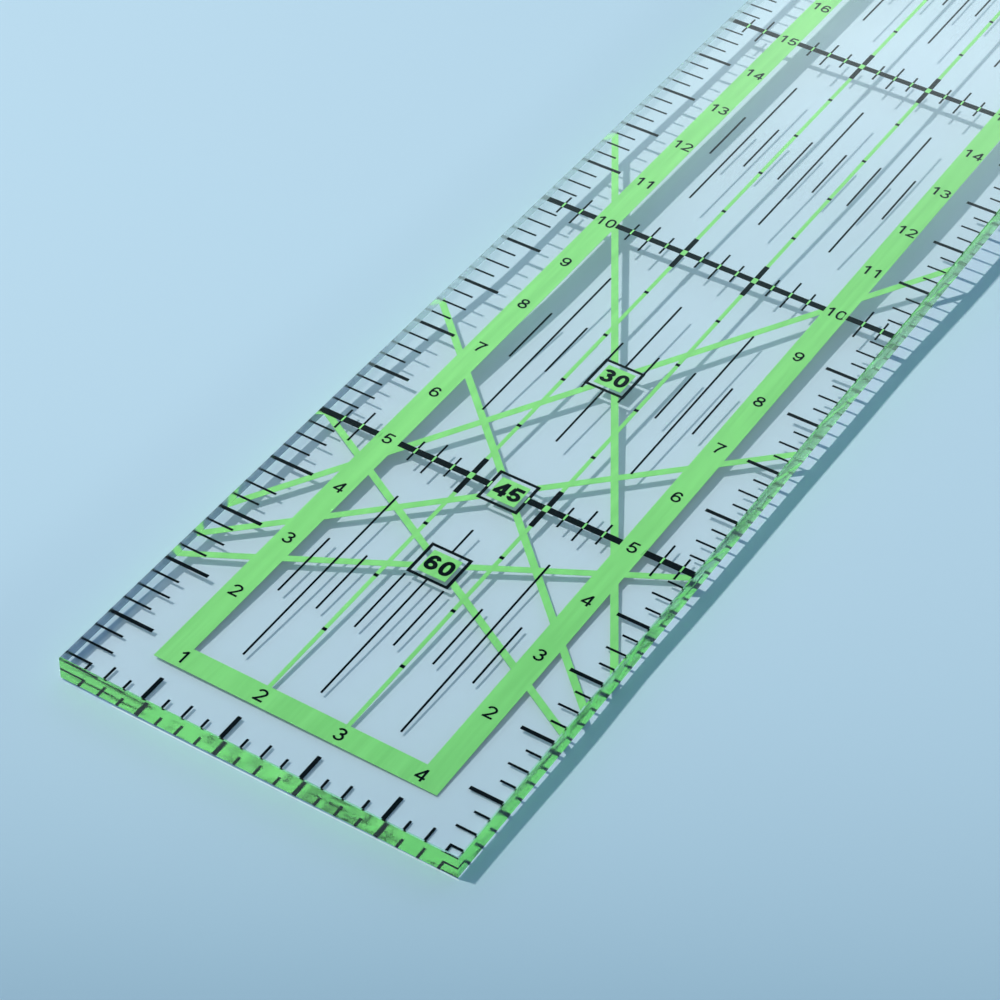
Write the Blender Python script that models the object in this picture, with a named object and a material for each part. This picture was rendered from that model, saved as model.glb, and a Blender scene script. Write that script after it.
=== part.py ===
"""Clear acrylic quilting ruler, 5 cm by 30 cm, printed on its underside in green and black.

Frame: +X across the ruler, +Y along it from the numbered end, +Z up through its thickness.
The origin is the centre of the rectangle that it rests on. Lengths are in metres; places on the
printed scale are in centimetres from the numbered end's left corner, as they read on the ruler.
"""

import math

import bmesh
import bpy

# The printed scale's full length and width, and the plate, whose cut edges lie just inside it
SCALE_LENGTH = 0.300
SCALE_WIDTH = 0.050
CUT_IN = 0.0002
LENGTH = SCALE_LENGTH - 2 * CUT_IN
WIDTH = SCALE_WIDTH - 2 * CUT_IN
THICKNESS = 0.003
ARRIS = 0.00012  # chamfer on the cut edges of the top face

# The ink: the green film is the lowest, the black film lies between it and the plate
FILM = 0.00004
FILM_GAP = 0.000005
GREEN_Z = FILM / 2
BLACK_Z = GREEN_Z + FILM + FILM_GAP
PLATE_Z = BLACK_Z + FILM / 2 + FILM_GAP

# The printed scale, in centimetres
CM = 0.01
ACROSS = round(SCALE_WIDTH / CM)
ALONG = round(SCALE_LENGTH / CM)
CENTRE = ACROSS / 2
LEFT_CUT = CUT_IN / CM
RIGHT_CUT = ACROSS - LEFT_CUT

BAND_EDGE = 0.72  # from the scale's zero lines to the frame band
BAND_WIDTH = 0.305
GUIDE_LINES = (2.0, 3.0)
GUIDE_WIDTH = 0.05

ANGLE_WIDTH = 0.09
HEAVY_STEP = 5
HEAVY_WIDTH = 0.095

LABEL_SIDE = 0.50  # between the centre lines of a label's frame
LABEL_STROKE = 0.04
LABEL_PATCH = 0.37

# Half lengths and widths of the ticks that cross a heavy line
QUARTER_TICK = (0.19, 0.026)
HALF_TICK = (0.29, 0.026)
GUIDE_TICK = (0.34, 0.066)

# Where each pair of angle lines crosses, on the ruler's centre line. The 60 degree pair ends on the
# first heavy line at the scale's sides, the 45 degree pair crosses on that line, and the 30 degree
# pair meets the second heavy line 1 cm from each side. Angles are from the ruler's cross direction.
ANGLE_PAIRS = {
    "60": (HEAVY_STEP - CENTRE * math.tan(math.radians(30)), 30),
    "45": (HEAVY_STEP, 45),
    "30": (2 * HEAVY_STEP - (CENTRE - 1) * math.tan(math.radians(60)), 60),
}

# name: base colour, roughness, transmission
FINISHES = {
    "clear_acrylic": ((0.90, 0.96, 0.98), 0.05, 1.0),
    "green_ink": ((0.24, 0.76, 0.19), 0.45, 0.0),
    "black_ink": ((0.010, 0.008, 0.012), 0.45, 0.0),
}


def clear_scene():
    for obj in list(bpy.data.objects):
        bpy.data.objects.remove(obj)


def new_collection(name):
    collection = bpy.data.collections.new(name)
    bpy.context.scene.collection.children.link(collection)
    return collection


def new_material(name):
    colour, roughness, transmission = FINISHES[name]
    material = bpy.data.materials.new(name)
    material.use_nodes = True
    shader = material.node_tree.nodes["Principled BSDF"]
    shader.inputs["Base Color"].default_value = (*colour, 1.0)
    shader.inputs["Roughness"].default_value = roughness
    shader.inputs["Metallic"].default_value = 0.0
    shader.inputs["Transmission Weight"].default_value = transmission
    return material


def on_plate(point):
    """A place on the printed scale, in centimetres, as X and Y in the ruler's frame."""
    return point[0] * CM - SCALE_WIDTH / 2, point[1] * CM - SCALE_LENGTH / 2


def rectangle(x0, x1, y0, y1):
    return [(x0, y0), (x1, y0), (x1, y1), (x0, y1)]


def square(centre, side):
    x, y = centre
    half = side / 2
    return rectangle(x - half, x + half, y - half, y + half)


def film(name, outlines, z, material, collection):
    """A printed area: a flat curve with one closed outline, and one more for each hole."""
    curve = bpy.data.curves.new(name, "CURVE")
    curve.dimensions = "2D"
    curve.fill_mode = "BOTH"
    curve.extrude = FILM / 2
    curve.materials.append(material)
    for outline in outlines:
        spline = curve.splines.new("POLY")
        spline.points.add(len(outline) - 1)
        spline.use_cyclic_u = True
        for point, place in zip(spline.points, outline):
            point.co = (*on_plate(place), 0.0, 1.0)
    obj = bpy.data.objects.new(name, curve)
    obj.location.z = z
    collection.objects.link(obj)
    return obj


def as_mesh(obj):
    """Replaces a curve by its mesh, with the caps welded to the sides, so that a Boolean can use it."""
    evaluated = obj.evaluated_get(bpy.context.evaluated_depsgraph_get())
    mesh = bpy.data.meshes.new_from_object(evaluated)
    shape = bmesh.new()
    shape.from_mesh(mesh)
    bmesh.ops.remove_doubles(shape, verts=shape.verts, dist=FILM / 40)
    bmesh.ops.recalc_face_normals(shape, faces=shape.faces)
    shape.to_mesh(mesh)
    shape.free()
    name = obj.name
    collection = obj.users_collection[0]
    place = obj.matrix_world.copy()
    bpy.data.objects.remove(obj)
    made = bpy.data.objects.new(name, mesh)
    made.matrix_world = place
    collection.objects.link(made)
    return made


def hide_helper(obj):
    obj.hide_render = True
    obj.display_type = "WIRE"


def boolean(obj, operation, helper):
    modifier = obj.modifiers.new(helper.name, "BOOLEAN")
    modifier.operation = operation
    modifier.solver = "EXACT"
    modifier.object = helper


def add_plate(material, collection):
    bpy.ops.mesh.primitive_cube_add(size=1)
    plate = bpy.context.object
    plate.name = "acrylic_plate"
    plate.scale = (WIDTH, LENGTH, THICKNESS)
    plate.location.z = PLATE_Z + THICKNESS / 2
    bpy.ops.object.transform_apply(location=False, rotation=False, scale=True)
    plate.data.materials.append(material)

    shape = bmesh.new()
    shape.from_mesh(plate.data)
    top_edges = [e for e in shape.edges if all(v.co.z > 0 for v in e.verts)]
    bmesh.ops.bevel(shape, geom=top_edges, offset=ARRIS, segments=1, affect="EDGES")
    shape.to_mesh(plate.data)
    shape.free()

    for old in list(plate.users_collection):
        old.objects.unlink(plate)
    collection.objects.link(plate)


def angle_line(label, side):
    """One line at an angle, from edge to edge of the plate. side is 1 where it rises to the right."""
    middle, angle = ANGLE_PAIRS[label]
    rise = side * (CENTRE - LEFT_CUT) * math.tan(math.radians(angle))
    half = ANGLE_WIDTH / 2 / math.cos(math.radians(angle))
    return [
        (LEFT_CUT, middle - rise - half),
        (RIGHT_CUT, middle + rise - half),
        (RIGHT_CUT, middle + rise + half),
        (LEFT_CUT, middle - rise + half),
    ]


def add_green_print(material, collection, helpers):
    """The frame band, the guide lines and the angle lines: one connected film, open inside the labels."""
    inner = BAND_EDGE + BAND_WIDTH
    band = [
        rectangle(BAND_EDGE, ACROSS - BAND_EDGE, BAND_EDGE, ALONG - BAND_EDGE),
        rectangle(inner, ACROSS - inner, inner, ALONG - inner),
    ]
    green = as_mesh(film("green_print", band, GREEN_Z, material, collection))

    overlap = BAND_WIDTH / 2
    lines = {
        f"guide_{x:.0f}": rectangle(
            x - GUIDE_WIDTH / 2, x + GUIDE_WIDTH / 2, inner - overlap, ALONG - inner + overlap
        )
        for x in GUIDE_LINES
    }
    for label in ANGLE_PAIRS:
        lines[f"angle_{label}_rising_right"] = angle_line(label, 1)
        lines[f"angle_{label}_rising_left"] = angle_line(label, -1)
    for name, outline in lines.items():
        helper = as_mesh(film(name, [outline], GREEN_Z, material, helpers))
        hide_helper(helper)
        boolean(green, "UNION", helper)

    for label, (middle, _) in ANGLE_PAIRS.items():
        opening = film(f"opening_{label}", [square((CENTRE, middle), LABEL_SIDE)], GREEN_Z, material, helpers)
        opening.data.extrude = FILM  # taller than the film that it cuts
        opening = as_mesh(opening)
        hide_helper(opening)
        boolean(green, "DIFFERENCE", opening)


def add_labels(green, black, collection):
    for label, (middle, _) in ANGLE_PAIRS.items():
        centre = (CENTRE, middle)
        film(f"label_patch_{label}", [square(centre, LABEL_PATCH)], GREEN_Z, green, collection)
        frame = [square(centre, LABEL_SIDE + LABEL_STROKE), square(centre, LABEL_SIDE - LABEL_STROKE)]
        film(f"label_frame_{label}", frame, BLACK_Z, black, collection)


def cross_tick(x):
    """Half length and width of the tick that crosses a heavy line at x."""
    if x in GUIDE_LINES:
        return GUIDE_TICK
    return HALF_TICK if x % 1 == 0.5 else QUARTER_TICK


def cross_line(x0, x1, y):
    """The outline of a stretch of heavy line with the ticks that cross it, a quarter centimetre apart."""
    quarters = [q / 4 for q in range(1, 4 * ACROSS)]
    ticks = [x for x in quarters if x0 < x < x1 and (x % 1 or x in GUIDE_LINES)]
    upper = [(x0, y + HEAVY_WIDTH / 2)]
    for x in ticks:
        half_length, width = cross_tick(x)
        left, right = x - width / 2, x + width / 2
        upper += [
            (left, y + HEAVY_WIDTH / 2),
            (left, y + half_length),
            (right, y + half_length),
            (right, y + HEAVY_WIDTH / 2),
        ]
    upper.append((x1, y + HEAVY_WIDTH / 2))
    lower = [(x, 2 * y - height) for x, height in reversed(upper)]
    return upper + lower


def add_cross_lines(material, collection):
    """Every 5 cm a heavy line from edge to edge, broken at the frame band and at the 45 degree label."""
    inner = BAND_EDGE + BAND_WIDTH
    label_half = (LABEL_SIDE + LABEL_STROKE) / 2 + FILM_GAP / CM
    for y in range(HEAVY_STEP, ALONG, HEAVY_STEP):
        stretches = {
            "left": (LEFT_CUT, BAND_EDGE),
            "middle": (inner, ACROSS - inner),
            "right": (ACROSS - BAND_EDGE, RIGHT_CUT),
        }
        if y == ANGLE_PAIRS["45"][0]:
            del stretches["middle"]
            stretches["middle_left"] = (inner, CENTRE - label_half)
            stretches["middle_right"] = (CENTRE + label_half, ACROSS - inner)
        for place, (x0, x1) in stretches.items():
            film(f"cross_line_{y:02d}_{place}", [cross_line(x0, x1, y)], BLACK_Z, material, collection)


def main():
    clear_scene()
    ruler = new_collection("quilting_ruler")
    helpers = new_collection("helpers")
    acrylic, green, black = (new_material(name) for name in FINISHES)
    add_plate(acrylic, ruler)
    add_green_print(green, ruler, helpers)
    add_labels(green, black, ruler)
    add_cross_lines(black, ruler)


main()
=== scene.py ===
import math

import bmesh
import bpy
from mathutils import Euler, Matrix, Vector


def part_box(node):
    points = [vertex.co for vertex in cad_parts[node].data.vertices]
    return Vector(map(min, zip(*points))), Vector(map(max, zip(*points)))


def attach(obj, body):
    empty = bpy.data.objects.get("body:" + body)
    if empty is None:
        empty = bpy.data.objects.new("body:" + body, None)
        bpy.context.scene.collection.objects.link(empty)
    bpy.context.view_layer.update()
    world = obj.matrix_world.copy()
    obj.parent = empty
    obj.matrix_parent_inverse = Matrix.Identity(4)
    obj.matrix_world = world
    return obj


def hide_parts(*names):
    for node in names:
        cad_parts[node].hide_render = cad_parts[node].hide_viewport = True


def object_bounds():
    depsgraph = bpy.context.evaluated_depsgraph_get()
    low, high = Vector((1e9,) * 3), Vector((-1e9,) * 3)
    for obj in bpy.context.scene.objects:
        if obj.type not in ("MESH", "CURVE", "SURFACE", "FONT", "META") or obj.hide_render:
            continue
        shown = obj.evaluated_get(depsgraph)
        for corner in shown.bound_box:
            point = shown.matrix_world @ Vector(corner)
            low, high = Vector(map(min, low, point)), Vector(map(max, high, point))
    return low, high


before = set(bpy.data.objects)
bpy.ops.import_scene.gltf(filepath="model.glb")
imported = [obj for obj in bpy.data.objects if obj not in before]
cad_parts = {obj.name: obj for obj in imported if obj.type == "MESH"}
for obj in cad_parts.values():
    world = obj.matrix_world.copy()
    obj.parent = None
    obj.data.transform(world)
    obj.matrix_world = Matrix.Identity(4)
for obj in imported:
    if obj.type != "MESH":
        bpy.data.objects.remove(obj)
cad_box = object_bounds()
LOW, HIGH = cad_box

# Places on the printed scale are in centimetres from the numbered end's left corner; heights are in
# metres. The plate is cut just inside the scale's zero lines.
CM = 0.01
ACROSS = round((HIGH.x - LOW.x) / CM)
ALONG = round((HIGH.y - LOW.y) / CM)
CENTRE = ACROSS / 2
CUT = (ACROSS - (HIGH.x - LOW.x) / CM) / 2

# Heights of the two ink films, and of the visible plate, whose underside runs through the lower film,
# so that light in the acrylic meets the ink with no air between.
GREEN_LOW, GREEN_HIGH = (corner.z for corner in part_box("green_print"))
BLACK_LOW, BLACK_HIGH = (corner.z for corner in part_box("label_frame_45"))
PLATE_LOW = (GREEN_LOW + GREEN_HIGH) / 2
PLATE_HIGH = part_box("acrylic_plate")[1].z
ARRIS = 0.00012  # the chamfer round the plate's top face
OPENING_HEIGHTS = (GREEN_LOW + 0.000005, BLACK_HIGH + 0.00003)
VARNISH_HEIGHTS = (GREEN_LOW + 0.000006, GREEN_LOW + 0.000010)
VARNISH_INSET = 0.005  # from the plate's edges to the varnish

# The frame band, and the numerals' columns and rows on its centre line
BAND_EDGE = 0.72
BAND_WIDTH = 0.305
NUMERAL_INSET = BAND_EDGE + BAND_WIDTH / 2
GUIDES = (2.0, 3.0)
CELL = 5
CELLS = ALONG // CELL
QUARTER = 0.25

# Ticks: length and width
UNIT_TICK = (0.50, 0.052)
HALF_TICK = (0.35, 0.031)
QUARTER_TICK = (0.29, 0.031)

# Fine lines along the ruler: where they lie across it, where the long ones start and end in a cell and in
# the first cell, and how much sooner the short ones stop
FINE_WIDTH = 0.026
LONG_LINES = (1.5, 2.5, 3.5)
SHORT_LINES = (1.25, 1.75, 2.25, 2.75, 3.25, 3.75)
CELL_SPAN = (1.045, 4.035)
FIRST_CELL_SPAN = (1.25, 4.245)
SHORTER_BY = 1
LABEL_RIM = 0.06  # a line that runs this near a label's side is not broken for it
LEAST_LINE = 0.01  # a shorter remainder of a line is left out

# Dots on the guide lines, which stand a little past each centimetre, and the openings in the heavy lines
DOT_WIDTH, DOT_HEIGHT = 0.055, 0.046
DOT_PAST = 0.045
OPENING_HALF = 0.011
GUIDE_OPENING_HALF = 0.033
OPENING_REACH = 0.052

# Numerals: height, and the pen's width over that height
DIGIT_HEIGHT = 0.180
DIGIT_PEN = 0.140
LABEL_DIGIT_HEIGHT = 0.238
LABEL_PEN = 0.215
DIGIT_ASPECT = 0.66  # a digit's width over its height
DIGIT_ADVANCE = 0.775  # from one digit to the next, over the height

# Inks: the colours of their dark and light streaks. The green ink's colour carries painted shade. It is
# darkest at the numbered end's right corner, where GREEN_PAINTED_SHADE multiplies its colour, and lighter
# towards the left side and the far end, where more of the lamp's light falls.
GREEN_STREAKS = ((0.38, 0.80, 0.305), (0.44, 0.89, 0.35))
GREEN_PAINTED_SHADE = (0.69, 0.86, 0.81)
BLACK_STREAKS = ((0.003, 0.003, 0.003), (0.006, 0.005, 0.006))
INK_ROUGHNESS = 0.5
INK_SHADE_FADES = (-5.0, 3.3, 0.0)  # how fast the painted shade fades, for each metre to the right and along the ruler
INK_SHADE_HALFWAY = 0.62  # how far the painted shade has faded at the ruler's middle, from 0 to 1

# Varnish: its colour, and its milky share where it is thin and where it is thick
VARNISH_COLOUR = (0.84, 0.90, 0.82, 1)
VARNISH_THIN, VARNISH_THICK = (0.055, 0.055, 0.055), (0.07, 0.07, 0.07)

# Acrylic: its tint, with stronger ones for the numbered end and for the faces away from the lamp, and how
# close together and how high the cut faces' milling strokes are
ACRYLIC_IOR = 1.49
ACRYLIC_TINT = (1.0, 0.975, 0.975, 1)
END_TINT = (0.50, 0.86, 0.56, 1)
AWAY_TINT = (0.52, 1.0, 0.54, 1)
LAMP_TINT = (1.0, 0.99, 0.99, 1)  # what one face leaves of a lamp's light
STROKES = 12000
STROKE_HEIGHT = 0.0001

# Frost: how far along the ruler it starts and how soon it is full, in metres, and its share and colour
FROST_START, FROST_FADE = 0.055, 0.015
LEFT_FROST = (0.35, (0.80, 0.93, 0.93, 1))
AWAY_FROST = (0.21, (0.66, 1.0, 0.64, 1))

# The lamp's light that comes in by the left or the near wall stays inside the plate, so along those walls
# strips of the underside this wide let none of it out
WALL_SHADE = (0.112, 0.027)

# The camera, in metres, degrees and millimetres
CAMERA_PLACE = (0.117644, -0.307504, 0.218773)
CAMERA_AZIMUTH, CAMERA_ELEVATION, CAMERA_ROLL = 29.772, 42.495, 2.915
CAMERA_LENS = 102.64
CAMERA_SENSOR = 36
AHEAD = Vector((-0.49, 0.87, 0))  # away from the viewer, along the table

# The lamp, whose KEY_AIM is the middle of the first heavy line
KEY_SHADOW = (0.58, 0.13)  # how far a point's shadow falls from it, in X and Y, for each unit of height
KEY_ENERGY = 2.17
KEY_ANGLE = 3.5
KEY_COLOUR = (0.98, 1.0, 0.90)
KEY_AIM = Vector((0, (CELL - ALONG / 2) * CM, 0))
TOWARDS_KEY = Vector((-KEY_SHADOW[0], -KEY_SHADOW[1], 1)).normalized()

# The scrim in the lamp's way, in metres. At the aim it takes SCRIM_LOSS of each channel, and e times as much
# for each SCRIM_REACH towards the viewer, but it never leaves less than SCRIM_LEAST.
SCRIM_HEIGHT = 0.3
SCRIM_SIZE = 4.0
SCRIM_LOSS = (0.081, 0.075, 0.075)
SCRIM_REACH = 0.0375
SCRIM_LEAST = 0.40
SCRIM_SIDE = 1.0  # the fraction more that it takes for each metre to the right
SCRIM_SIDE_RANGE = (0.80, 1.20)  # but that changes what it leaves by no more than this

# The world: its fill from the left to the right, and the backdrop beyond the ruler, as its colour at each
# height, which is 0 at the table's level and 1 overhead
FILL_LEFT = (0.28, 0.44, 0.43)
FILL_RIGHT = (0.06, 0.08, 0.26)
BACKDROP_STARTS, BACKDROP_FULL = 0.45, 0.65
BACKDROP = (
    (0.45, (0.33, 0.74, 0.84)),
    (0.54, (1.3, 1.6, 1.7)),
    (0.60, (0.34, 0.57, 0.63)),
    (0.70, (0.02, 0.10, 0.16)),
)

# The table: how far it lies below the ruler, at places along the ruler's left side, middle and right side,
# and how far off and how much higher it is to the left of the ruler, all in centimetres
GAP_PLACES = (0, 2.4, 3.5, 5, 7, 8.5, 10, 12, 14, 18, 24, 30)
GAPS = (
    (0.020, 0.095, 0.105, 0.112, 0.190, 0.287, 0.292, 0.303, 0.33, 0.33, 0.20, 0.02),
    (0.030, 0.088, 0.110, 0.145, 0.192, 0.223, 0.235, 0.262, 0.28, 0.28, 0.18, 0.02),
    (0.010, 0.057, 0.048, 0.088, 0.114, 0.143, 0.172, 0.264, 0.30, 0.30, 0.19, 0.02),
)
LEFT_RISE = (1.6, 0.10)
TABLE_REACH = 300
FINE_ACROSS = (-5, 10, 0.25)  # where the mesh is fine: from, to and by what step
FINE_ALONG = (-2, 32, 0.5)
PAPER = (0.600, 0.748, 0.885)
PAINTED_FOOT_LIGHT = (0.7, 5.0, 0.006, 0.020)  # a painted line of light before the numbered end: its two X and two Y
PAINTED_FOOT_LIGHT_COLOUR = (0.88, 0.96, 1.0)


# ---------------------------------------------------------------- flat printed shapes

def on_plate(x, y):
    """A place on the printed scale as X and Y in metres."""
    return (x - ACROSS / 2) * CM, (y - ALONG / 2) * CM


def on_scale(place):
    """X and Y in metres as a place on the printed scale."""
    return place.x / CM + ACROSS / 2, place.y / CM + ALONG / 2


def rectangle(x0, x1, y0, y1):
    """A strip: its left side and its right side, each as points in order."""
    return [(x0, y0), (x0, y1)], [(x1, y0), (x1, y1)], False


def ribbon(points, width, closed=False):
    """A strip of constant width along points, with mitred joints."""
    left, right = [], []
    count = len(points)
    for i, (x, y) in enumerate(points):
        before = points[(i - 1) % count] if closed or i > 0 else None
        after = points[(i + 1) % count] if closed or i < count - 1 else None
        into = unit(before, (x, y)) if before else unit((x, y), after)
        out = unit((x, y), after) if after else into
        normal = Vector((-into[1] - out[1], into[0] + out[0])).normalized()
        stretch = 1 / max(0.35, normal.x * -into[1] + normal.y * into[0])
        reach = width / 2 * stretch
        left.append((x + normal.x * reach, y + normal.y * reach))
        right.append((x - normal.x * reach, y - normal.y * reach))
    return left, right, closed


def unit(a, b):
    """The direction from a to b."""
    step = Vector((b[0] - a[0], b[1] - a[1]))
    return step.normalized()


def add_strip(shape, strip, low, high):
    """Adds a strip to a bmesh as a closed flat prism between two heights."""
    left, right, closed = strip
    rows = []
    for a, b in zip(left, right):
        a, b = on_plate(*a), on_plate(*b)
        corners = ((*a, low), (*b, low), (*b, high), (*a, high))
        rows.append([shape.verts.new(corner) for corner in corners])
    pairs = list(zip(rows, rows[1:]))
    if closed:
        pairs.append((rows[-1], rows[0]))
    else:
        shape.faces.new(rows[0])
        shape.faces.new(reversed(rows[-1]))
    for near, far in pairs:
        for i in range(4):
            j = (i + 1) % 4
            shape.faces.new((near[i], far[i], far[j], near[j]))


def object_from(name, shape, materials):
    """Turns a bmesh into an object of the scene."""
    mesh = bpy.data.meshes.new(name)
    shape.to_mesh(mesh)
    shape.free()
    for material in materials:
        mesh.materials.append(material)
    made = bpy.data.objects.new(name, mesh)
    bpy.context.scene.collection.objects.link(made)
    return made


def print_piece(name, strips, heights, material):
    """One piece of a printed film, made of all its strips."""
    shape = bmesh.new()
    for strip in strips:
        add_strip(shape, strip, *heights)
    bmesh.ops.recalc_face_normals(shape, faces=shape.faces)
    piece = object_from(name, shape, [material])
    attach(piece, "root")


# ---------------------------------------------------------------- numerals

def arc(cx, cy, rx, ry, start, end, squareness=2.0):
    """Points on a (super)ellipse, from one angle to another in degrees."""
    steps = max(4, round(abs(end - start) / 9))
    points = []
    for i in range(steps + 1):
        a = math.radians(start + (end - start) * i / steps)
        c, s = math.cos(a), math.sin(a)
        points.append((
            cx + rx * math.copysign(abs(c) ** (2 / squareness), c),
            cy + ry * math.copysign(abs(s) ** (2 / squareness), s),
        ))
    return points


def digit_strokes(digit, pen):
    """The pen's centre lines for a digit in a box of height 1: a list of (points, closed)."""
    w, c = DIGIT_ASPECT, pen / 2
    mid, full = w / 2, w / 2 - c
    if digit == "0":
        return [(arc(mid, 0.5, full, 0.5 - c, 0, 360, 2.35)[:-1], True)]
    if digit == "1":
        stem = 0.60 * w
        flag = [(0.16 * w, 0.725), (0.36 * w, 0.81), (stem, 0.97)]
        return [([(stem, 0), (stem, 1)], False), (flag, False)]
    if digit == "2":
        hook = arc(mid, 0.71, full, 0.29 - c, 172, -22)
        hook += [(0.62 * w, 0.40), (0.22 * w, 0.13), (c + 0.02, c)]
        return [(hook, False), ([(0, c), (w, c)], False)]
    if digit == "3":
        upper = arc(0.47 * w, 0.745, full * 0.92, 0.255 - c, 165, -75)
        lower = arc(0.48 * w, 0.27 + c / 2, full, 0.27 - c / 2, 75, -165)
        return [(upper + [(0.42 * w, 0.525)], False), ([(0.42 * w, 0.53)] + lower, False)]
    if digit == "4":
        stem = 0.74 * w
        slope = [(stem, 0.96), (c * 0.9, 0.29)]
        bar = [(0, 0.27), (w * 1.02, 0.27)]
        return [([(stem, 0), (stem, 1)], False), (slope, False), (bar, False)]
    if digit == "5":
        top = [(0.20 * w, 1 - c), (0.94 * w, 1 - c)]
        bowl = arc(0.48 * w, 0.325, full, 0.325 - c, 140, -165)
        return [(top, False), ([(0.245 * w, 1 - c), (0.13 * w, 0.50)] + bowl, False)]
    if digit == "6":
        bowl = arc(mid, 0.32, full, 0.32 - c, 0, 360)[:-1]
        sweep = arc(mid + 0.01, 0.5, full, 0.5 - c, 32, 180, 2.2)
        return [(bowl, True), (sweep + [(c, 0.32)], False)]
    if digit == "7":
        top = [(0, 1 - c), (w, 1 - c)]
        leg = [(w - c, 1 - c), (0.60 * w, 0.60), (0.42 * w, 0.27), (0.36 * w, 0)]
        return [(top, False), (leg, False)]
    if digit == "8":
        upper = arc(mid, 0.745, full * 0.88, 0.235 - c / 2, 0, 360)[:-1]
        lower = arc(mid, 0.275, full, 0.26 - c / 2, 0, 360)[:-1]
        return [(upper, True), (lower, True)]
    turned = digit_strokes("6", pen)
    return [([(w - x, 1 - y) for x, y in points], closed) for points, closed in turned]


def number_strips(text, centre, height, pen):
    """The strips of a number, centred on a place."""
    strips = []
    total = DIGIT_ADVANCE * (len(text) - 1) + DIGIT_ASPECT
    for index, digit in enumerate(text):
        x0 = centre[0] + (index * DIGIT_ADVANCE - total / 2) * height
        y0 = centre[1] - height / 2
        for points, closed in digit_strokes(digit, pen):
            placed = [(x0 + x * height, y0 + y * height) for x, y in points]
            strips.append(ribbon(placed, pen * height, closed))
    return strips


# ---------------------------------------------------------------- materials

def new_material(name):
    """A material with its nodes, its links and its Principled shader."""
    material = bpy.data.materials.new(name)
    material.use_nodes = True
    nodes = material.node_tree.nodes
    return material, nodes, material.node_tree.links, nodes["Principled BSDF"]


def noise_node(nodes, links, scale, detail, stretch=(1, 1, 1)):
    """Noise in the ruler's own coordinates."""
    place = nodes.new("ShaderNodeTexCoord")
    mapping = nodes.new("ShaderNodeMapping")
    mapping.inputs["Scale"].default_value = stretch
    noise = nodes.new("ShaderNodeTexNoise")
    noise.inputs["Scale"].default_value = scale
    noise.inputs["Detail"].default_value = detail
    links.new(place.outputs["Object"], mapping.inputs["Vector"])
    links.new(mapping.outputs["Vector"], noise.inputs["Vector"])
    return noise


def ramp_node(nodes, links, source, stops):
    """A colour ramp over a socket. Each stop is a position and a colour."""
    ramp = nodes.new("ShaderNodeValToRGB")
    while len(ramp.color_ramp.elements) < len(stops):
        ramp.color_ramp.elements.new(0.5)
    for element, (position, colour) in zip(ramp.color_ramp.elements, stops):
        element.position = position
        element.color = (*colour, 1)
    links.new(source, ramp.inputs["Fac"])
    return ramp


def add_bump(nodes, links, shader, texture, strength, distance):
    """Relief from a texture, distance metres high."""
    bump = nodes.new("ShaderNodeBump")
    bump.inputs["Strength"].default_value = strength
    bump.inputs["Distance"].default_value = distance
    links.new(texture.outputs["Fac"], bump.inputs["Height"])
    links.new(bump.outputs["Normal"], shader.inputs["Normal"])


def ink_material(name, streak_colours, full=None):
    """Screen-printed ink, a little thinner in streaks along the pull of the squeegee.

    full is what multiplies its colour at the numbered end's right corner, as painted shade that fades
    towards the left side and the far end.
    """
    material, nodes, links, shader = new_material(name)
    dark, light = streak_colours
    streaks = noise_node(nodes, links, scale=900, detail=4, stretch=(1, 0.06, 1))
    ramp = ramp_node(nodes, links, streaks.outputs["Fac"], [(0.35, dark), (0.65, light)])
    # Painted shade on the ink's colour, where full is given
    colour = thinned(nodes, links, ramp.outputs["Color"], full) if full else ramp.outputs["Color"]
    links.new(colour, shader.inputs["Base Color"])
    shader.inputs["Roughness"].default_value = INK_ROUGHNESS
    shader.inputs["Specular IOR Level"].default_value = 0.0
    grain = noise_node(nodes, links, scale=5000, detail=3)
    add_bump(nodes, links, shader, grain, strength=0.05, distance=0.00002)
    return material


def thinned(nodes, links, colour, full):
    """Painted shade: a colour multiplied by full at the numbered end's right corner, and left alone towards
    the left side and the far end.
    """
    place = nodes.new("ShaderNodeTexCoord")
    along = nodes.new("ShaderNodeVectorMath")
    along.operation = "DOT_PRODUCT"
    links.new(place.outputs["Object"], along.inputs[0])
    along.inputs[1].default_value = INK_SHADE_FADES
    share = calculate(nodes, links, "ADD", along.outputs["Value"], INK_SHADE_HALFWAY)
    ramp = ramp_node(nodes, links, share, [(0.0, full), (1.0, (1, 1, 1))])
    mix = nodes.new("ShaderNodeMix")
    mix.data_type = "RGBA"
    mix.blend_type = "MULTIPLY"
    mix.inputs["Factor"].default_value = 1.0
    links.new(colour, mix.inputs["A"])
    links.new(ramp.outputs["Color"], mix.inputs["B"])
    return mix.outputs["Result"]


def let_lamps_through(nodes, links, surface, allowed=None):
    """Lamps shine straight through the acrylic. allowed is a socket that says where."""
    path = nodes.new("ShaderNodeLightPath")
    clear = nodes.new("ShaderNodeBsdfTransparent")
    clear.inputs["Color"].default_value = LAMP_TINT
    mix = nodes.new("ShaderNodeMixShader")
    fraction = path.outputs["Is Shadow Ray"]
    if allowed is not None:
        fraction = calculate(nodes, links, "MULTIPLY", fraction, allowed)
    links.new(fraction, mix.inputs["Fac"])
    links.new(surface, mix.inputs[1])
    links.new(clear.outputs["BSDF"], mix.inputs[2])
    links.new(mix.outputs["Shader"], nodes["Material Output"].inputs["Surface"])


def own_place(nodes, links):
    """Sockets that hold a point's X, Y and Z in its object's own coordinates."""
    place = nodes.new("ShaderNodeTexCoord")
    split = nodes.new("ShaderNodeSeparateXYZ")
    links.new(place.outputs["Object"], split.inputs["Vector"])
    return split.outputs


def beyond(nodes, links, limits):
    """A socket that is 1 where the point's X, Y or Z is above each of these limits, and 0 elsewhere."""
    point = own_place(nodes, links)
    result = 1.0
    for axis, limit in limits.items():
        above = calculate(nodes, links, "GREATER_THAN", point[axis], limit)
        result = calculate(nodes, links, "MULTIPLY", result, above)
    return result


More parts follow.
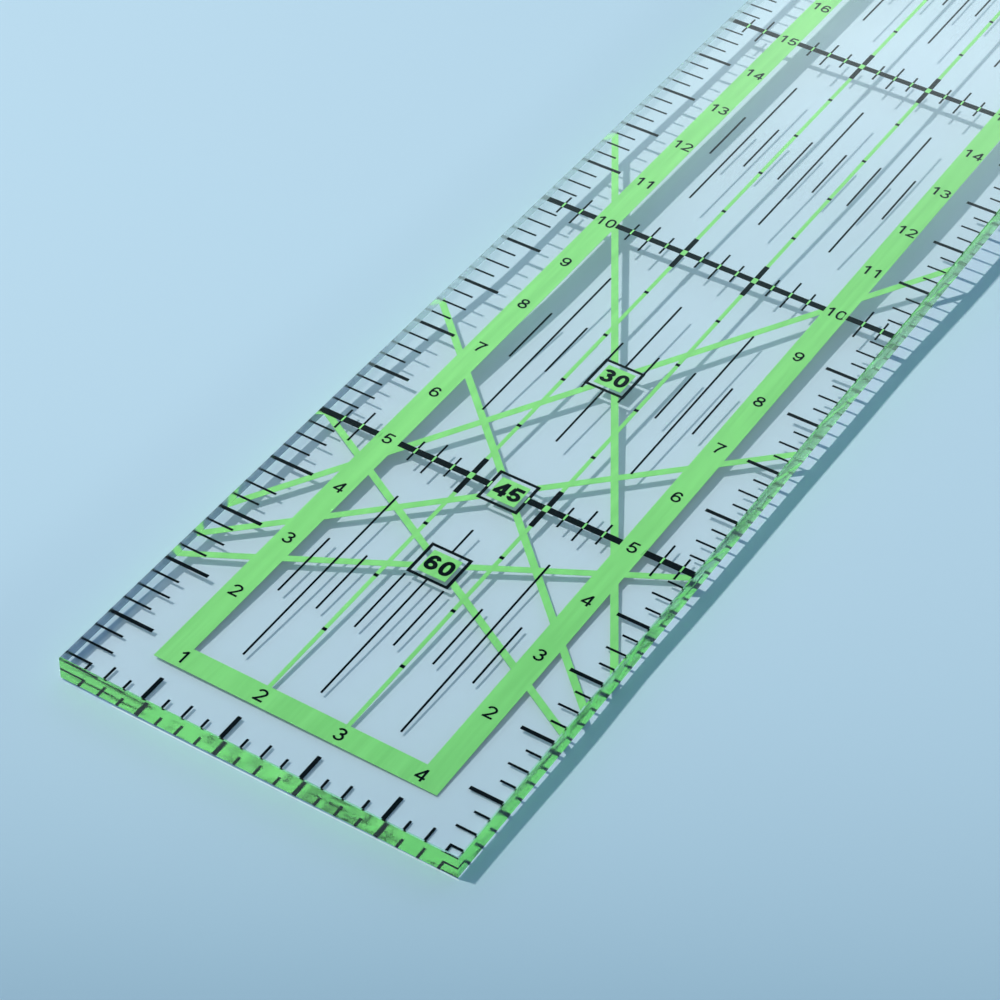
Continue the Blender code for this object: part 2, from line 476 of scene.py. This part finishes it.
def calculate(nodes, links, operation, a, b=0.0):
    """A socket that holds a sum, product or the like of two numbers or sockets."""
    node = nodes.new("ShaderNodeMath")
    node.operation = operation
    for source, target in zip((a, b), node.inputs):
        if isinstance(source, bpy.types.NodeSocket):
            links.new(source, target)
        else:
            target.default_value = source
    return node.outputs["Value"]


def acrylic(name, roughness=0.0, tint=ACRYLIC_TINT):
    """Clear acrylic, which bends and mirrors what is seen through it."""
    material, nodes, links, shader = new_material(name)
    shader.inputs["Base Color"].default_value = tint
    shader.inputs["Transmission Weight"].default_value = 1.0
    shader.inputs["IOR"].default_value = ACRYLIC_IOR
    shader.inputs["Roughness"].default_value = roughness
    return material, nodes, links, shader


def top_material():
    """The cast sheet's own polished face."""
    material, nodes, links, shader = acrylic("acrylic_top")
    let_lamps_through(nodes, links, shader.outputs["BSDF"])
    return material


def underside_material():
    """The same face below. Light that came in by the lamp's two side walls never leaves through it."""
    material, nodes, links, shader = acrylic("acrylic_underside")
    limits = {"X": LOW.x + WALL_SHADE[0] * CM, "Y": LOW.y + WALL_SHADE[1] * CM}
    let_lamps_through(nodes, links, shader.outputs["BSDF"], beyond(nodes, links, limits))
    return material


def cut_material(name, facing_lamp, roughness, depth, tint=ACRYLIC_TINT, frost=None):
    """A cut edge: clear but milled in fine upright strokes, which draw out sideways what it mirrors."""
    material, nodes, links, shader = acrylic(name, roughness, tint)
    strokes = noise_node(nodes, links, STROKES, detail=2, stretch=(1, 1, 0.12))
    add_bump(nodes, links, shader, strokes, depth, STROKE_HEIGHT)
    surface = frosted(nodes, links, shader, *frost) if frost else shader.outputs["BSDF"]
    if facing_lamp:
        let_lamps_through(nodes, links, surface)
    else:
        links.new(surface, nodes["Material Output"].inputs["Surface"])
    return material


def frosted(nodes, links, shader, share, colour):
    """Past FROST_START a share of the surface is sawn white, and glows where the lamp shines through it."""
    glow = nodes.new("ShaderNodeBsdfTranslucent")
    glow.inputs["Color"].default_value = colour
    along = own_place(nodes, links)["Y"]
    along = calculate(nodes, links, "SUBTRACT", along, LOW.y + FROST_START)
    along = calculate(nodes, links, "DIVIDE", along, FROST_FADE)
    ramp = ramp_node(nodes, links, along, [(0.0, (0, 0, 0)), (1.0, (share, share, share))])
    mix = nodes.new("ShaderNodeMixShader")
    links.new(ramp.outputs["Color"], mix.inputs["Fac"])
    links.new(shader.outputs["BSDF"], mix.inputs[1])
    links.new(glow.outputs["BSDF"], mix.inputs[2])
    return mix.outputs["Shader"]


def varnish_material():
    """The clear coat over the print: a trace of milkiness, uneven where it was drawn on."""
    material, nodes, links, shader = new_material("print_varnish")
    shader.inputs["Base Color"].default_value = VARNISH_COLOUR
    shader.inputs["Roughness"].default_value = 0.6
    shader.inputs["Specular IOR Level"].default_value = 0.0
    drawn = noise_node(nodes, links, scale=120, detail=3, stretch=(1, 0.15, 1))
    ramp = ramp_node(nodes, links, drawn.outputs["Fac"], [(0.3, VARNISH_THIN), (0.7, VARNISH_THICK)])
    links.new(ramp.outputs["Color"], shader.inputs["Alpha"])
    let_lamps_through(nodes, links, shader.outputs["BSDF"])
    return material


def scrim_material():
    """Thicker towards the viewer, who is on its own Y axis's low side."""
    material, nodes, links, shader = new_material("scrim")
    nodes.remove(shader)
    point = own_place(nodes, links)
    nearer = calculate(nodes, links, "MULTIPLY", point["Y"], -1 / SCRIM_REACH)
    lost = calculate(nodes, links, "EXPONENT", nearer)
    aside = calculate(nodes, links, "MULTIPLY", point["X"], -SCRIM_SIDE)
    aside = calculate(nodes, links, "ADD", aside, 1.0)
    aside = calculate(nodes, links, "MAXIMUM", aside, SCRIM_SIDE_RANGE[0])
    aside = calculate(nodes, links, "MINIMUM", aside, SCRIM_SIDE_RANGE[1])
    colour = nodes.new("ShaderNodeCombineColor")
    for loss, channel in zip(SCRIM_LOSS, ("Red", "Green", "Blue")):
        left = calculate(nodes, links, "SUBTRACT", 1.0, calculate(nodes, links, "MULTIPLY", lost, loss))
        left = calculate(nodes, links, "MAXIMUM", left, SCRIM_LEAST)
        links.new(calculate(nodes, links, "MULTIPLY", left, aside), colour.inputs[channel])
    clear = nodes.new("ShaderNodeBsdfTransparent")
    links.new(colour.outputs["Color"], clear.inputs["Color"])
    links.new(clear.outputs["BSDF"], nodes["Material Output"].inputs["Surface"])
    return material


def table_material():
    """Pale blue paper, with a painted line of light where the numbered end's cut face throws light at its
    own foot.
    """
    material, nodes, links, shader = new_material("table_paper")
    x0, x1, y0, y1 = PAINTED_FOOT_LIGHT
    (left, near), (right, far) = on_plate(x0, y0), on_plate(x1, y1)
    line = beyond(nodes, links, {"X": left, "Y": near})
    for axis, limit in (("X", right), ("Y", far)):
        line = calculate(nodes, links, "SUBTRACT", line, beyond(nodes, links, {axis: limit}))
    # The paper's colour turns pale along the painted line of light
    ramp = ramp_node(nodes, links, line, [(0.0, PAPER), (1.0, PAINTED_FOOT_LIGHT_COLOUR)])
    links.new(ramp.outputs["Color"], shader.inputs["Base Color"])
    shader.inputs["Roughness"].default_value = 0.9
    return material


# The green ink's colour carries painted shade, darkest at the numbered end's right corner
GREEN_INK = ink_material("green_ink", GREEN_STREAKS, GREEN_PAINTED_SHADE)
BLACK_INK = ink_material("black_ink", BLACK_STREAKS)


# ---------------------------------------------------------------- the plate

def acrylic_materials():
    """For the top, the underside, the left side, the numbered end and the two sides away from the lamp."""
    return [
        top_material(),
        underside_material(),
        cut_material("acrylic_cut_left", facing_lamp=True, roughness=0.15, depth=0.15, frost=LEFT_FROST),
        cut_material(
            "acrylic_cut_numbered_end", facing_lamp=True,
            roughness=0.02, depth=0.10, tint=END_TINT,
        ),
        cut_material(
            "acrylic_cut_away", facing_lamp=False,
            roughness=0.02, depth=0.18, tint=AWAY_TINT, frost=AWAY_FROST,
        ),
    ]


def face_kind(normal):
    """The place of a face's material in acrylic_materials."""
    if abs(normal.z) > 0.9:
        return 0 if normal.z > 0 else 1
    if normal.x < -0.5:
        return 2
    return 3 if normal.y < -0.5 else 4


def add_plate():
    """The plate, as a box with a small arris round its top face."""
    shape = bmesh.new()
    bmesh.ops.create_cube(shape, size=1)
    size = Vector((HIGH.x - LOW.x, HIGH.y - LOW.y, PLATE_HIGH - PLATE_LOW))
    middle = Vector((0, 0, (PLATE_HIGH + PLATE_LOW) / 2))
    for vertex in shape.verts:
        vertex.co = Vector(a * b for a, b in zip(vertex.co, size)) + middle
    top = [e for e in shape.edges if all(v.co.z > middle.z for v in e.verts)]
    bmesh.ops.bevel(shape, geom=top, offset=ARRIS, segments=1, affect="EDGES")
    for face in shape.faces:
        face.material_index = face_kind(face.normal)
    plate = object_from("clear_plate", shape, acrylic_materials())
    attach(plate, "root")
    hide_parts("acrylic_plate")


def add_varnish():
    """One coat over the whole print, with its outline just inside the plate's."""
    edge = CUT + VARNISH_INSET
    outline = rectangle(edge, ACROSS - edge, edge, ALONG - edge)
    print_piece("print_varnish", [outline], VARNISH_HEIGHTS, varnish_material())


# ---------------------------------------------------------------- the print

def colour_cad_print():
    """The CAD's own print nodes stay, and take the two inks."""
    for name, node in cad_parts.items():
        if name == "acrylic_plate":
            continue
        green = name == "green_print" or name.startswith("label_patch")
        node.data.materials.clear()
        node.data.materials.append(GREEN_INK if green else BLACK_INK)


def black_piece(name, strips):
    """A piece of the black film."""
    print_piece(name, strips, (BLACK_LOW, BLACK_HIGH), BLACK_INK)


def quarters(last):
    """Every quarter centimetre between 0 and last."""
    return [q * QUARTER for q in range(1, round(last / QUARTER))]


def tick_size(place):
    """Length and width of the edge tick at this place."""
    if place % 1 == 0:
        return UNIT_TICK
    return HALF_TICK if place % 1 == 0.5 else QUARTER_TICK


def add_edge_ticks():
    """Ticks every quarter centimetre, in from the two long edges and the two ends."""
    left, right = [], []
    for y in quarters(ALONG)[1:-1]:
        if y % CELL == 0:
            continue
        length, width = tick_size(y)
        left.append(rectangle(CUT, length, y - width / 2, y + width / 2))
        right.append(rectangle(ACROSS - length, ACROSS - CUT, y - width / 2, y + width / 2))
    black_piece("edge_ticks_left", left)
    black_piece("edge_ticks_right", right)
    near, far = [], []
    for x in quarters(ACROSS)[1:-1]:
        length, width = tick_size(x)
        near.append(rectangle(x - width / 2, x + width / 2, CUT, length))
        far.append(rectangle(x - width / 2, x + width / 2, ALONG - length, ALONG - CUT))
    black_piece("end_ticks_numbered", near)
    black_piece("end_ticks_far", far)


def add_corner_marks():
    """At each corner the two quarter ticks meet and close a small square."""
    strips = []
    for x, sx in ((0, 1), (ACROSS, -1)):
        for y, sy in ((0, 1), (ALONG, -1)):
            inner = (x + sx * QUARTER, y + sy * QUARTER)
            corner = [(x + sx * CUT, inner[1]), inner, (inner[0], y + sy * CUT)]
            strips.append(ribbon(corner, QUARTER_TICK[1]))
    black_piece("corner_marks", strips)


def long_span(cell):
    """Where a cell's long fine lines start and end. The last cell mirrors the first."""
    if cell == 0:
        return FIRST_CELL_SPAN
    if cell == CELLS - 1:
        return ALONG - FIRST_CELL_SPAN[1], ALONG - FIRST_CELL_SPAN[0]
    return cell * CELL + CELL_SPAN[0], cell * CELL + CELL_SPAN[1]


def add_fine_lines():
    """In each cell, long and short fine lines along the ruler, broken at the labels."""
    half = FINE_WIDTH / 2
    labels = [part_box(name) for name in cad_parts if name.startswith("label_frame")]
    strips = []
    for cell in range(CELLS):
        start, end = long_span(cell)
        spans = {x: (start, end) for x in LONG_LINES}
        spans |= {x: (start + SHORTER_BY, end - SHORTER_BY) for x in SHORT_LINES}
        for x, (y0, y1) in spans.items():
            for a, b in around_labels(x, y0, y1, labels):
                strips.append(rectangle(x - half, x + half, a, b))
    black_piece("fine_lines", strips)


def around_labels(x, y0, y1, labels):
    """The stretches of a line along the ruler that no label covers."""
    stretches = [(y0, y1)]
    for low, high in labels:
        (x0, a), (x1, b) = on_scale(low), on_scale(high)
        if not x0 + LABEL_RIM < x < x1 - LABEL_RIM:
            continue
        stretches = [
            piece
            for s, e in stretches
            for piece in ((s, min(e, a)), (max(s, b), e))
            if piece[1] - piece[0] > LEAST_LINE
        ]
    return stretches


def block(x, y, half_width, half_height):
    """A rectangle around its middle."""
    return rectangle(x - half_width, x + half_width, y - half_height, y + half_height)


def add_guide_dots():
    """A dot on each guide line at each centimetre between the heavy lines."""
    strips = []
    for y in range(2, ALONG - 1):
        if y % CELL:
            strips += [block(x, y + DOT_PAST, DOT_WIDTH / 2, DOT_HEIGHT / 2) for x in GUIDES]
    black_piece("guide_dots", strips)


def add_openings():
    """The green openings that the cross ticks make in the heavy lines."""
    for cell in range(1, CELLS):
        y = cell * CELL
        strips = []
        for x in quarters(ACROSS):
            under_label = x == CENTRE and cell == 1
            if under_label or (x % 1 == 0 and x not in GUIDES):
                continue
            half = GUIDE_OPENING_HALF if x in GUIDES else OPENING_HALF
            strips.append(block(x, y, half, OPENING_REACH))
        print_piece(f"cross_line_{y:02d}_openings", strips, OPENING_HEIGHTS, GREEN_INK)


def add_numerals():
    """The numbers along the four sides of the frame band, and those in the labels."""
    sides = {"left": NUMERAL_INSET, "right": ACROSS - NUMERAL_INSET}
    for side, x in sides.items():
        strips = []
        for y in range(2, ALONG):
            strips += number_strips(str(y), (x, y), DIGIT_HEIGHT, DIGIT_PEN)
        black_piece(f"numerals_{side}", strips)
    near = []
    for x in range(1, ACROSS):
        near += number_strips(str(x), (x, NUMERAL_INSET), DIGIT_HEIGHT, DIGIT_PEN)
    black_piece("numerals_numbered_end", near)
    far = []
    for x in GUIDES:
        far += number_strips(f"{x:.0f}", (x, ALONG - NUMERAL_INSET), DIGIT_HEIGHT, DIGIT_PEN)
    black_piece("numerals_far_end", far)
    for label in ("60", "45", "30"):
        low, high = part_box(f"label_frame_{label}")
        centre = on_scale((low + high) / 2)
        strips = number_strips(label, centre, LABEL_DIGIT_HEIGHT, LABEL_PEN)
        black_piece(f"label_numeral_{label}", strips)


# ---------------------------------------------------------------- the stage

def gap_under(x, y):
    """How far the uneven table lies under this place, in centimetres. Beyond the ruler it goes on level."""
    left, middle, right = (along_curve(GAP_PLACES, gaps, y) for gaps in GAPS)
    how_far, how_much = LEFT_RISE
    return along_curve((-how_far, 0, CENTRE, ACROSS), (left - how_much, left, middle, right), x)


def along_curve(places, values, place):
    """A smooth curve through values at places, read at one place and level beyond its ends."""
    if place <= places[0]:
        return values[0]
    if place >= places[-1]:
        return values[-1]
    i = max(k for k, start in enumerate(places) if start <= place)
    slopes = [slope_at(places, values, k) for k in (i, i + 1)]
    span = places[i + 1] - places[i]
    t = (place - places[i]) / span
    rise = t * t * (3 - 2 * t)
    bend = span * t * (1 - t) * (slopes[0] * (1 - t) - slopes[1] * t)
    return values[i] * (1 - rise) + values[i + 1] * rise + bend


def slope_at(places, values, k):
    """The curve's slope at its place number k, which is level at both ends."""
    if k in (0, len(places) - 1):
        return 0.0
    return (values[k + 1] - values[k - 1]) / (places[k + 1] - places[k - 1])


def spaced(fine_low, fine_high, step):
    """Coordinates from one side of the table to the other, a step apart from fine_low to fine_high."""
    count = round((fine_high - fine_low) / step)
    middle = [fine_low + i * step for i in range(count + 1)]
    before = [-TABLE_REACH, (fine_low - TABLE_REACH) / 2]
    return before + middle + [(fine_high + TABLE_REACH) / 2, TABLE_REACH]


def add_table():
    """Uneven paper, far wider than the ruler."""
    xs = spaced(*FINE_ACROSS)
    ys = spaced(*FINE_ALONG)
    shape = bmesh.new()
    rows = [[shape.verts.new((*on_plate(x, y), -gap_under(x, y) * CM)) for x in xs] for y in ys]
    for lower, upper in zip(rows, rows[1:]):
        for i in range(len(xs) - 1):
            shape.faces.new((lower[i], lower[i + 1], upper[i + 1], upper[i]))
    for face in shape.faces:
        face.smooth = True
    object_from("table", shape, [table_material()])


def add_key_light():
    """A hard lamp from the left. Only rays sent to it find it, so the plate does not mirror it."""
    lamp = bpy.data.lights.new("key", "SUN")
    lamp.energy = KEY_ENERGY
    lamp.color = KEY_COLOUR
    lamp.angle = math.radians(KEY_ANGLE)
    lamp.cycles.use_multiple_importance_sampling = False
    key = bpy.data.objects.new("key", lamp)
    key.rotation_mode = "QUATERNION"
    key.rotation_quaternion = TOWARDS_KEY.to_track_quat("Z", "Y")
    bpy.context.scene.collection.objects.link(key)


def add_scrim():
    """A graduated scrim high in the lamp's way. Only rays to the lamp meet it."""
    bpy.ops.mesh.primitive_plane_add(size=SCRIM_SIZE)
    scrim = bpy.context.object
    scrim.name = "scrim"
    scrim.location = KEY_AIM + TOWARDS_KEY * (SCRIM_HEIGHT / TOWARDS_KEY.z)
    scrim.rotation_euler.z = math.atan2(-AHEAD.x, AHEAD.y)
    scrim.data.materials.append(scrim_material())
    scrim.visible_camera = False
    scrim.visible_diffuse = False
    scrim.visible_glossy = False
    scrim.visible_transmission = False


def add_world():
    """Soft light from the left, a pale backdrop low beyond the ruler and the dark studio above it."""
    world = bpy.data.worlds.new("studio")
    bpy.context.scene.world = world
    world.use_nodes = True
    nodes, links = world.node_tree.nodes, world.node_tree.links
    place = nodes.new("ShaderNodeTexCoord")
    direction = place.outputs["Generated"]
    split = nodes.new("ShaderNodeSeparateXYZ")
    links.new(direction, split.inputs["Vector"])

    side = calculate(nodes, links, "MULTIPLY", split.outputs["X"], 0.5)
    side = calculate(nodes, links, "ADD", side, 0.5)
    fill = ramp_node(nodes, links, side, [(0.0, FILL_LEFT), (1.0, FILL_RIGHT)])
    backdrop = ramp_node(nodes, links, split.outputs["Z"], BACKDROP)

    ahead = nodes.new("ShaderNodeVectorMath")
    ahead.operation = "DOT_PRODUCT"
    links.new(direction, ahead.inputs[0])
    ahead.inputs[1].default_value = AHEAD
    stops = [(BACKDROP_STARTS, (0, 0, 0)), (BACKDROP_FULL, (1, 1, 1))]
    share = ramp_node(nodes, links, ahead.outputs["Value"], stops)

    mix = nodes.new("ShaderNodeMix")
    mix.data_type = "RGBA"
    links.new(share.outputs["Color"], mix.inputs["Factor"])
    links.new(fill.outputs["Color"], mix.inputs["A"])
    links.new(backdrop.outputs["Color"], mix.inputs["B"])
    links.new(mix.outputs["Result"], nodes["Background"].inputs["Color"])


def add_camera():
    lens = bpy.data.cameras.new("camera")
    lens.lens = CAMERA_LENS
    lens.sensor_width = CAMERA_SENSOR
    lens.clip_start, lens.clip_end = 0.01, 20
    camera = bpy.data.objects.new("camera", lens)
    aim = Euler((math.radians(90 - CAMERA_ELEVATION), 0, math.radians(CAMERA_AZIMUTH)))
    roll = Matrix.Rotation(math.radians(CAMERA_ROLL), 4, "Z")
    camera.matrix_world = Matrix.Translation(CAMERA_PLACE) @ aim.to_matrix().to_4x4() @ roll
    bpy.context.scene.collection.objects.link(camera)
    bpy.context.scene.camera = camera


def set_light_paths():
    """Light caught between the plate's faces turns many times before it meets the print."""
    scene = bpy.context.scene
    scene.view_settings.view_transform = "Standard"
    scene.cycles.max_bounces = 48
    scene.cycles.glossy_bounces = 48
    scene.cycles.transmission_bounces = 48
    scene.cycles.transparent_max_bounces = 32
    scene.cycles.diffuse_bounces = 3
    scene.cycles.caustics_reflective = True
    scene.cycles.caustics_refractive = True
    scene.cycles.blur_glossy = 0.0


add_camera()
set_light_paths()
add_plate()
add_varnish()
colour_cad_print()
add_edge_ticks()
add_corner_marks()
add_fine_lines()
add_guide_dots()
add_openings()
add_numerals()
add_table()
add_key_light()
add_scrim()
add_world()
